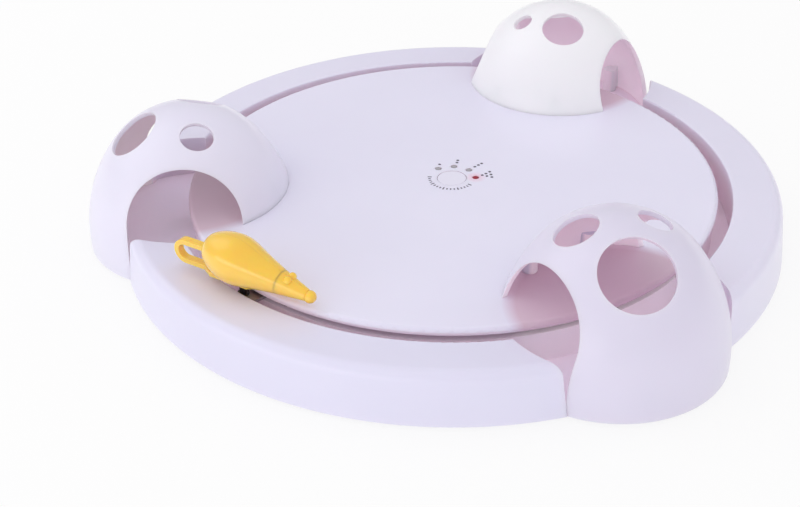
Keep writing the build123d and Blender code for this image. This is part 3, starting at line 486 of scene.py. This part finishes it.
# Mouse. A soft orange-yellow elastomer moulding with a looped tail, pushed on a black pin. The skin is
# glossy, the two mould halves leave a fine seam down the middle, and light passes a little way in.
pin_low, pin_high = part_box("mouse_post")
pin_place = ((pin_low[0] + pin_high[0]) / 2, (pin_low[1] + pin_high[1]) / 2)
orbit_angle, along_groove, nose_inwards = 253, 90, 13
heading = math.radians(orbit_angle + along_groove + nose_inwards)
for node in ("mouse_body", "mouse_tail"):
    # The skin's recess colour is a deeper orange painted shade in its creases.
    skin, shader = moulded_material(
        node + "_skin", (1.0, 0.61, 0.06), (0.92, 0.36, 0.02), 0.005, 0.5, 0.38, 0.05, 0.1)
    set_inputs(shader, {"Subsurface Weight": 0.8, "Subsurface Radius": (1.0, 0.5, 0.15),
                        "Subsurface Scale": 0.003, "Coat Weight": 1.0, "Coat Roughness": 0.12,
                        "Coat IOR": 1.65})
    tree = skin.node_tree
    body_map = tree.nodes.new("ShaderNodeMapping")
    body_map.vector_type = "TEXTURE"
    set_inputs(body_map, {"Location": (*pin_place, 0), "Rotation": (0, 0, heading)})
    tree.links.new(object_place(tree), body_map.inputs["Vector"])
    off_middle = sum_of(tree, axis_of(tree, body_map.outputs["Vector"], "Y"), 0, "ABSOLUTE")
    ridge = tree.nodes.new("ShaderNodeBump")
    set_inputs(ridge, {"Distance": 0.0002, "Strength": 0.5})
    tree.links.new(mask_between(tree, off_middle, 0.00022, 0.00008), ridge.inputs["Height"])
    if node == "mouse_tail":
        tree.links.new(shader.inputs["Normal"].links[0].from_socket, ridge.inputs["Normal"])
    else:
        tree.links.new(tree.nodes.new("ShaderNodeNewGeometry").outputs["True Normal"], ridge.inputs["Normal"])
        tree.links.new(ridge.outputs["Normal"], shader.inputs["Coat Normal"])
    tree.links.new(ridge.outputs["Normal"], shader.inputs["Normal"])
    dress(node, skin)
# The pin's recess colour is a darker painted shade.
dress("mouse_post", moulded_material(
    "pin_black", (0.012, 0.011, 0.012), (0.005, 0.005, 0.005), 0.004, 0.3, 0.3)[0])

# Screws. Zinc-plated pan heads with crossed driver slots, bright with a faint blue passivation.
# They hold the rims, the domes, the deck, the board, the gear plate and the arm.
for node in ("rim_screws", "dome_screws", "deck_screws", "board_screws", "gear_plate_screws", "arm_screws"):
    metal_finish(node, (0.66, 0.69, 0.73), (500, 500, 900), 0.3, 0.3)

# Stage. A pale floor in soft, even studio light, with the camera where the photograph's was. The floor
# is clear from below, so the underside can be looked at.
floor_mesh = bpy.data.meshes.new("floor")
bm = bmesh.new()
bmesh.ops.create_grid(bm, x_segments=1, y_segments=1, size=3)
bmesh.ops.translate(bm, verts=bm.verts, vec=(0, 0, -0.0001))
bm.to_mesh(floor_mesh)
bm.free()
floor = bpy.data.objects.new("floor", floor_mesh)
bpy.context.scene.collection.objects.link(floor)


def shader_mix(tree, share, first, second):
    """Shader first where share is 0 and shader second where it is 1."""
    node = tree.nodes.new("ShaderNodeMixShader")
    tree.links.new(share, node.inputs["Fac"])
    tree.links.new(first.outputs[0], node.inputs[1])
    tree.links.new(second.outputs[0], node.inputs[2])
    return node


floor_paper = bpy.data.materials.new("floor_paper")
floor_paper.use_nodes = True
tree = floor_paper.node_tree
paper = tree.nodes["Principled BSDF"]
set_inputs(paper, {"Base Color": (0.9, 0.9, 0.9, 1), "Roughness": 0.9})
rays = tree.nodes.new("ShaderNodeLightPath")
seen = sum_of(tree, rays.outputs["Is Camera Ray"], rays.outputs["Is Glossy Ray"], "MAXIMUM")
lit_share = sum_of(tree, product_of(tree, seen, 0.4), 0.4)
lit_paper = shader_mix(tree, lit_share, paper, tree.nodes.new("ShaderNodeEmission"))
from_below = tree.nodes.new("ShaderNodeNewGeometry").outputs["Backfacing"]
one_way = shader_mix(tree, from_below, lit_paper, tree.nodes.new("ShaderNodeBsdfTransparent"))
tree.links.new(one_way.outputs[0], tree.nodes["Material Output"].inputs["Surface"])
floor_mesh.materials.append(floor_paper)

world = bpy.data.worlds.new("studio")
bpy.context.scene.world = world
world.use_nodes = True
tree = world.node_tree
ambient = tree.nodes["Background"]
ambient.inputs["Color"].default_value = (1.0, 0.99, 1.0, 1)
white = tree.nodes.new("ShaderNodeBackground")
white.inputs["Color"].default_value = (1, 1, 1, 1)
rays = tree.nodes.new("ShaderNodeLightPath")
direct = sum_of(tree, rays.outputs["Is Camera Ray"], rays.outputs["Is Transmission Ray"], "MAXIMUM")
dimmed = sum_of(tree, product_of(tree, rays.outputs["Is Glossy Ray"], -0.55), 0.95)
tree.links.new(dimmed, ambient.inputs["Strength"])
studio = shader_mix(tree, direct, ambient, white)
tree.links.new(studio.outputs[0], tree.nodes["World Output"].inputs["Surface"])


def softbox(name, place, aim, size, power):
    """A rectangular studio lamp pointed at a spot on the toy."""
    lamp = bpy.data.lights.new(name, "AREA")
    lamp.shape = "RECTANGLE"
    lamp.size, lamp.size_y = size
    lamp.energy = power
    holder = bpy.data.objects.new(name, lamp)
    turn = (Vector(place) - Vector(aim)).to_track_quat("Z", "Y")
    holder.matrix_world = Matrix.Translation(place) @ turn.to_matrix().to_4x4()
    bpy.context.scene.collection.objects.link(holder)


softbox("key", (-0.85, -0.15, 0.85), (0, 0, 0), (0.9, 0.9), 1.3)
softbox("front", (-0.3, -1.05, 0.21), (0, 0, 0.02), (1.4, 0.3), 1.8)

azimuth, elevation, roll = math.radians(29.39), math.radians(32.398), math.radians(-1.275)
distance = 0.6879
aim = Vector((-0.00980, -0.04139, 0))
sensor_width = 36
photo_width, focal_length = 800, 1504.877
back = Vector((math.sin(azimuth) * math.cos(elevation), -math.cos(azimuth) * math.cos(elevation),
               math.sin(elevation)))
right = (-back).cross(Vector((0, 0, 1))).normalized()
up = right.cross(-back)
across = math.cos(roll) * right + math.sin(roll) * up
above = -math.sin(roll) * right + math.cos(roll) * up
lens = bpy.data.cameras.new("camera")
lens.sensor_width = sensor_width
lens.lens = focal_length / photo_width * sensor_width
lens.clip_start = 0.01
camera = bpy.data.objects.new("camera", lens)
axes = Matrix((across, above, back)).transposed().to_4x4()
camera.matrix_world = Matrix.Translation(aim + back * distance) @ axes
bpy.context.scene.collection.objects.link(camera)
bpy.context.scene.camera = camera
bpy.context.scene.view_settings.view_transform = "Standard"
